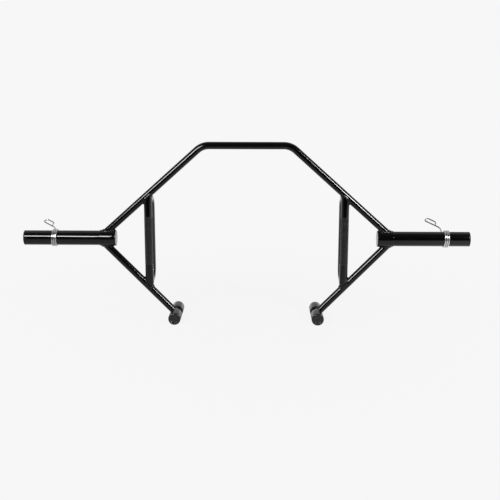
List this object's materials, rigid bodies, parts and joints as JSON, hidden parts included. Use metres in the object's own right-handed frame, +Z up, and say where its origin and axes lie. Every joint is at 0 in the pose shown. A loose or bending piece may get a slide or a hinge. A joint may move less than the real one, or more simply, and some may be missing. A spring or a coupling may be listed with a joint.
{
  "type": "open-ended trap bar",
  "caption": "Open-ended trap bar on two short cross feet, with a bent bow, paired low and high grips, round plate sleeves and wire spring collars.",
  "frame": {"origin": "on the floor, under the middle of the whole bar", "axes": "+X along the plate sleeves, +Z up, +Y towards the high handles and collar levers"},
  "size_m": [1.524, 0.1906, 0.6165],
  "materials": {
    "gloss_black_paint": "gloss black powder coat",
    "knurled_black_steel": "black, diamond knurled in the grip zone",
    "black_rubber": "soft satin moulded rubber",
    "black_plastic": "satin",
    "chromed_spring_wire": "polished"
  },
  "bodies": {
    "bar_frame": {"front_bow": "gloss_black_paint", "left_rear_arm": "gloss_black_paint", "left_hub": "gloss_black_paint", "left_hub_plate": "gloss_black_paint", "left_sleeve": "gloss_black_paint", "left_foot_tube": "gloss_black_paint", "left_high_handle": "gloss_black_paint", "left_low_handle": "knurled_black_steel", "left_front_foot_cap": "black_rubber", "left_back_foot_cap": "black_rubber", "left_sleeve_cap": "black_plastic", "right_rear_arm": "gloss_black_paint", "right_hub": "gloss_black_paint", "right_hub_plate": "gloss_black_paint", "right_sleeve": "gloss_black_paint", "right_foot_tube": "gloss_black_paint", "right_high_handle": "gloss_black_paint", "right_low_handle": "knurled_black_steel", "right_front_foot_cap": "black_rubber", "right_back_foot_cap": "black_rubber", "right_sleeve_cap": "black_plastic"},
    "left_collar": {"left_collar_coil": "chromed_spring_wire", "left_collar_fixed_lever": "chromed_spring_wire"},
    "left_squeeze_lever": {"left_collar_squeeze_lever": "chromed_spring_wire"},
    "right_collar": {"right_collar_coil": "chromed_spring_wire", "right_collar_fixed_lever": "chromed_spring_wire"},
    "right_squeeze_lever": {"right_collar_squeeze_lever": "chromed_spring_wire"}
  },
  "joints": [
    {"name": "left_collar_slide", "type": "slide", "parent": "bar_frame", "child": "left_collar", "axis": [-1, 0, 0], "range_m": [-0.142, 0.12]},
    {"name": "left_collar_squeeze", "type": "hinge", "parent": "left_collar", "child": "left_squeeze_lever", "pos_m": [-0.6566, -0.01433, 0.287], "axis": [-1, 0, 0], "range_deg": [0, 28], "stiffness_Nm_per_rad": 11, "springref_deg": -0.23, "deforming": ["left_collar_coil"]},
    {"name": "right_collar_slide", "type": "slide", "parent": "bar_frame", "child": "right_collar", "axis": [1, 0, 0], "range_m": [-0.167, 0.098]},
    {"name": "right_collar_squeeze", "type": "hinge", "parent": "right_collar", "child": "right_squeeze_lever", "pos_m": [0.6815, -0.01433, 0.287], "axis": [-1, 0, 0], "range_deg": [0, 28], "stiffness_Nm_per_rad": 11, "springref_deg": -0.23, "deforming": ["right_collar_coil"]}
  ]
}
